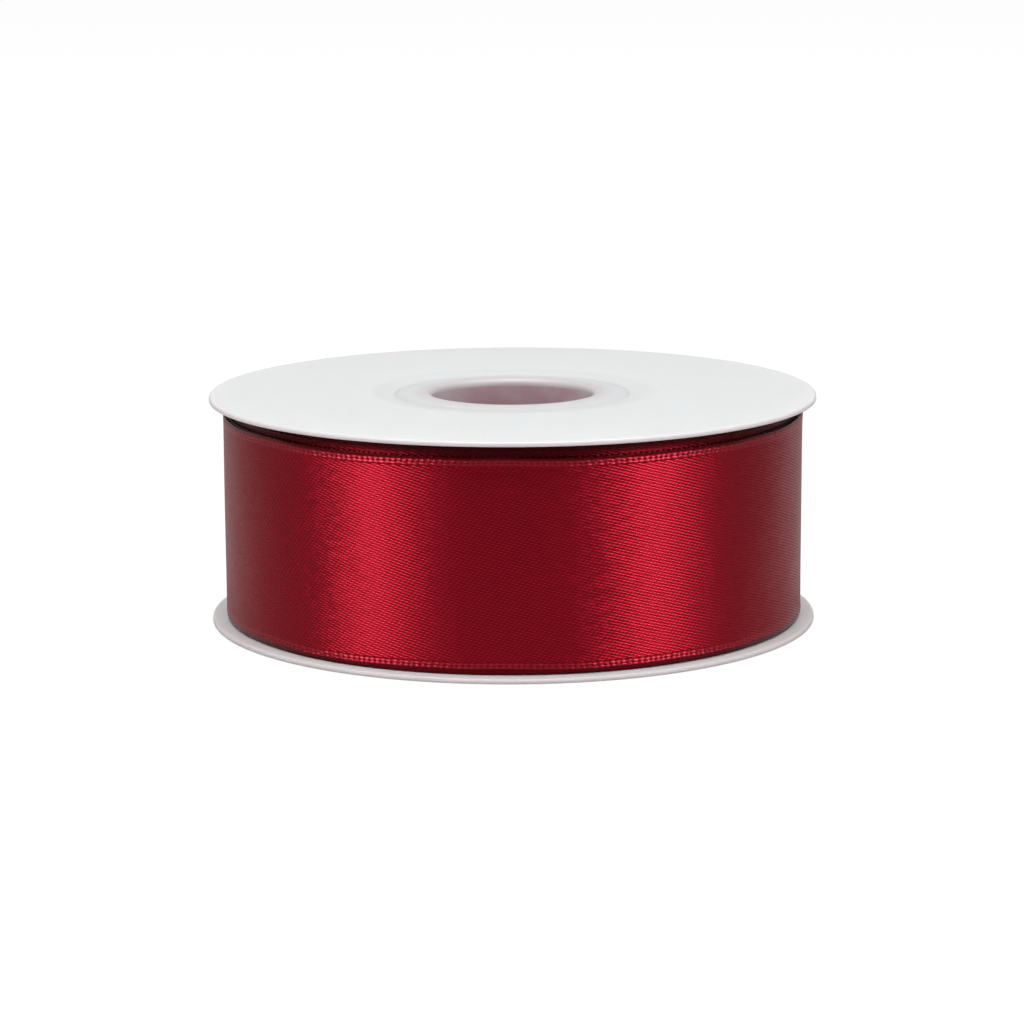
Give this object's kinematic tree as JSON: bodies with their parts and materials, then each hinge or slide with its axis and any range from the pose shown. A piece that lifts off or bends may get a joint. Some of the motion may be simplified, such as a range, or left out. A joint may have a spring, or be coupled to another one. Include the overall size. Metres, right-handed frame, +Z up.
{
  "type": "ribbon spool",
  "caption": "Flat spool of satin ribbon: thin round discs held on a hollow hub by snap-in eyelets, with a taped free end that peels open.",
  "frame": {"origin": "middle of the bottom disc's outer face, where the spool stands", "axes": "+Z up along the spool's axis; -Y is the front, and the ribbon's free end is at the back, towards +Y"},
  "size_m": [0.075, 0.075, 0.0282],
  "materials": {
    "disc_plastic": "satin white polystyrene sheet",
    "hub_plastic": "milky translucent moulded plastic",
    "satin": "dark red woven satin, shiny face out",
    "tape": "clear adhesive film"
  },
  "bodies": {
    "spool": {"top_disc": "disc_plastic", "bottom_disc": "disc_plastic", "upper_hub_eyelet": "hub_plastic", "lower_hub_eyelet": "hub_plastic", "core_tube": "hub_plastic", "ribbon_start_tape": "tape", "ribbon_roll": "satin", "ribbon_outer_turns": "satin"},
    "tail": {"ribbon_tail": "satin", "end_tape": "tape"}
  },
  "joints": [
    {"name": "tail_peel", "type": "hinge", "parent": "spool", "child": "tail", "pos_m": [0.01692, 0.03183, 0.0135], "axis": [0, 0, -1], "range_deg": [0, 80]}
  ]
}
